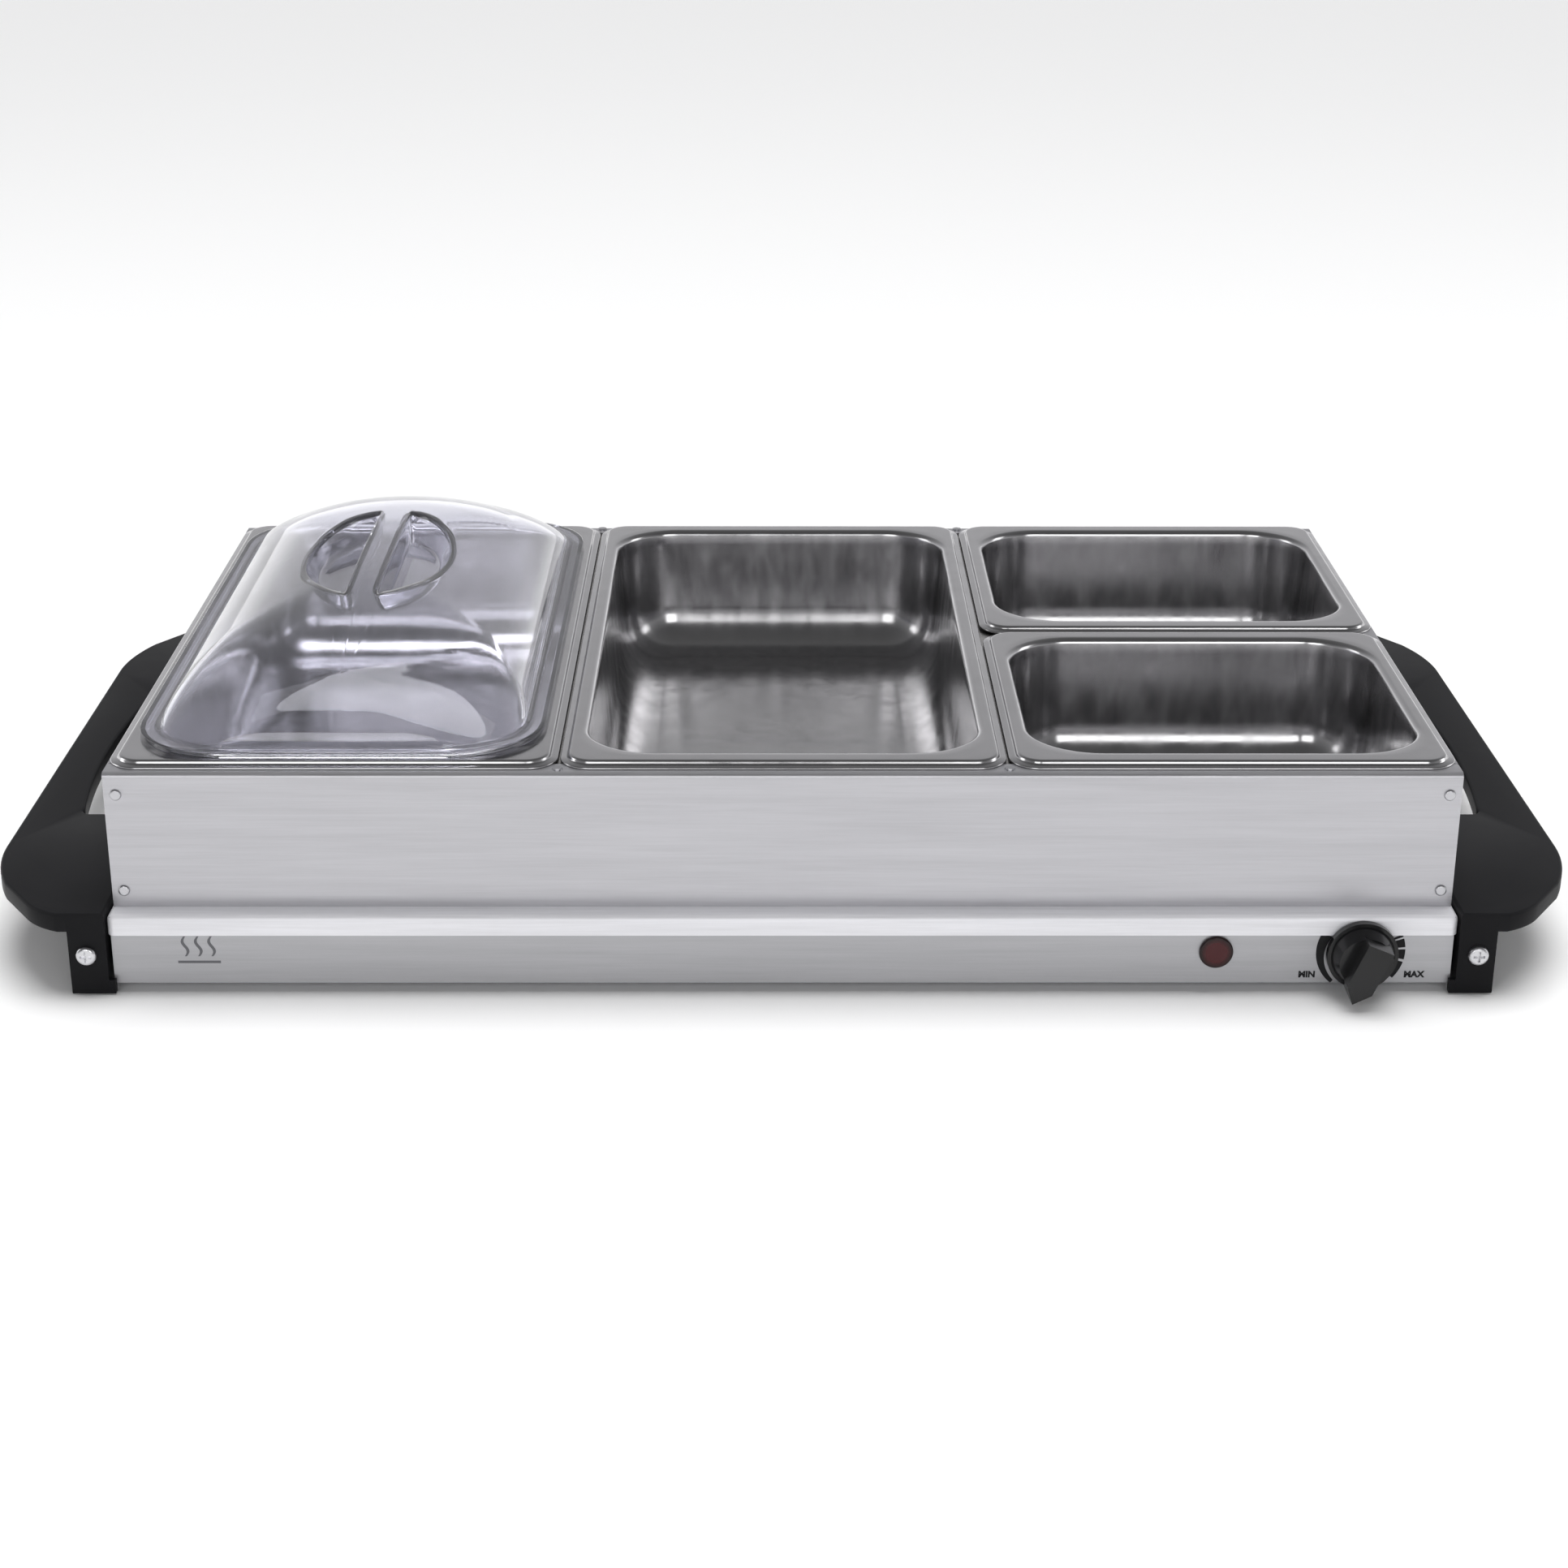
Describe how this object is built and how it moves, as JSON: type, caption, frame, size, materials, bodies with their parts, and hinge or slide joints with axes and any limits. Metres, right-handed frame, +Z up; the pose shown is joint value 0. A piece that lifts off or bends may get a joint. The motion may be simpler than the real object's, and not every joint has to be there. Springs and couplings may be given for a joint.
{
  "type": "electric buffet server",
  "caption": "Steel table-top buffet warmer: heated base with end handles and a dial, lift-off carrier, removable food pans and a clear lid.",
  "frame": {"origin": "on the surface it stands on, under the middle of its overall box", "axes": "+X to the user's right along the long side, +Y from the controls to the back, +Z up"},
  "size_m": [0.64, 0.376, 0.1298],
  "materials": {
    "brushed_steel": "horizontal brushed grain",
    "polished_steel": "satin rim and bright polished inside",
    "zinc_steel": "bright zinc plate",
    "element_sheath": "heat-stained sheath",
    "insulation": "matt mineral fibre",
    "reflector": "bright rolled sheet",
    "phenolic": "matt",
    "copper": "drawn tube",
    "red_lens": "clear dark red",
    "ceramic": "unglazed",
    "wire_sleeve": "woven glass sleeve",
    "rubber": "matt",
    "black_plastic": "satin moulded",
    "screw_steel": "bright",
    "rivet_steel": "bright",
    "clear_plastic": "clear with a cool tint",
    "knob_plastic": "gloss moulded"
  },
  "bodies": {
    "warmer_base": {"warming_plate": "brushed_steel", "base_front_panel": "brushed_steel", "base_rear_panel": "brushed_steel", "base_left_panel": "brushed_steel", "base_right_panel": "brushed_steel", "bottom_cover": "zinc_steel", "heating_element": "element_sheath", "element_clamps": "zinc_steel", "insulation_board": "insulation", "heat_reflector": "reflector", "thermostat_body": "phenolic", "thermostat_bracket": "zinc_steel", "thermostat_nut": "zinc_steel", "sensor_bulb": "copper", "pilot_lamp_lens": "red_lens", "pilot_lamp_body": "phenolic", "pilot_lamp_clip": "zinc_steel", "terminal_block": "ceramic", "thermal_cutout": "zinc_steel", "inner_wires": "wire_sleeve", "cable_inlet": "rubber", "handle_right": "black_plastic", "handle_left": "black_plastic", "handle_screws": "screw_steel", "foot_pads": "rubber"},
    "pan_carrier": {"carrier_front_panel": "brushed_steel", "carrier_rear_panel": "brushed_steel", "carrier_left_panel": "brushed_steel", "carrier_right_panel": "brushed_steel", "carrier_bar_left": "polished_steel", "carrier_bar_right": "polished_steel", "carrier_cross_bar": "polished_steel", "carrier_rivets": "rivet_steel"},
    "left_pan": {"pan_left": "polished_steel"},
    "middle_pan": {"pan_middle": "polished_steel"},
    "front_small_pan": {"pan_right_front": "polished_steel"},
    "rear_small_pan": {"pan_right_rear": "polished_steel"},
    "pan_lid": {"lid": "clear_plastic"},
    "heat_knob": {"control_knob": "knob_plastic", "knob_spindle": "zinc_steel"}
  },
  "joints": [
    {"name": "carrier_lift", "type": "slide", "parent": "warmer_base", "child": "pan_carrier", "axis": [0, 0, 1], "range_m": [0, 0.12]},
    {"name": "left_pan_lift", "type": "slide", "parent": "pan_carrier", "child": "left_pan", "axis": [0, 0, 1], "range_m": [0, 0.08]},
    {"name": "middle_pan_lift", "type": "slide", "parent": "pan_carrier", "child": "middle_pan", "axis": [0, 0, 1], "range_m": [0, 0.08]},
    {"name": "front_pan_lift", "type": "slide", "parent": "pan_carrier", "child": "front_small_pan", "axis": [0, 0, 1], "range_m": [0, 0.08]},
    {"name": "rear_pan_lift", "type": "slide", "parent": "pan_carrier", "child": "rear_small_pan", "axis": [0, 0, 1], "range_m": [0, 0.08]},
    {"name": "lid_lift", "type": "slide", "parent": "left_pan", "child": "pan_lid", "axis": [0, 0, 1], "range_m": [0, 0.08]},
    {"name": "knob_turn", "type": "hinge", "parent": "warmer_base", "child": "heat_knob", "pos_m": [0.2274, -0.171, 0.0176], "axis": [0, 1, 0], "range_deg": [0, 290]}
  ]
}
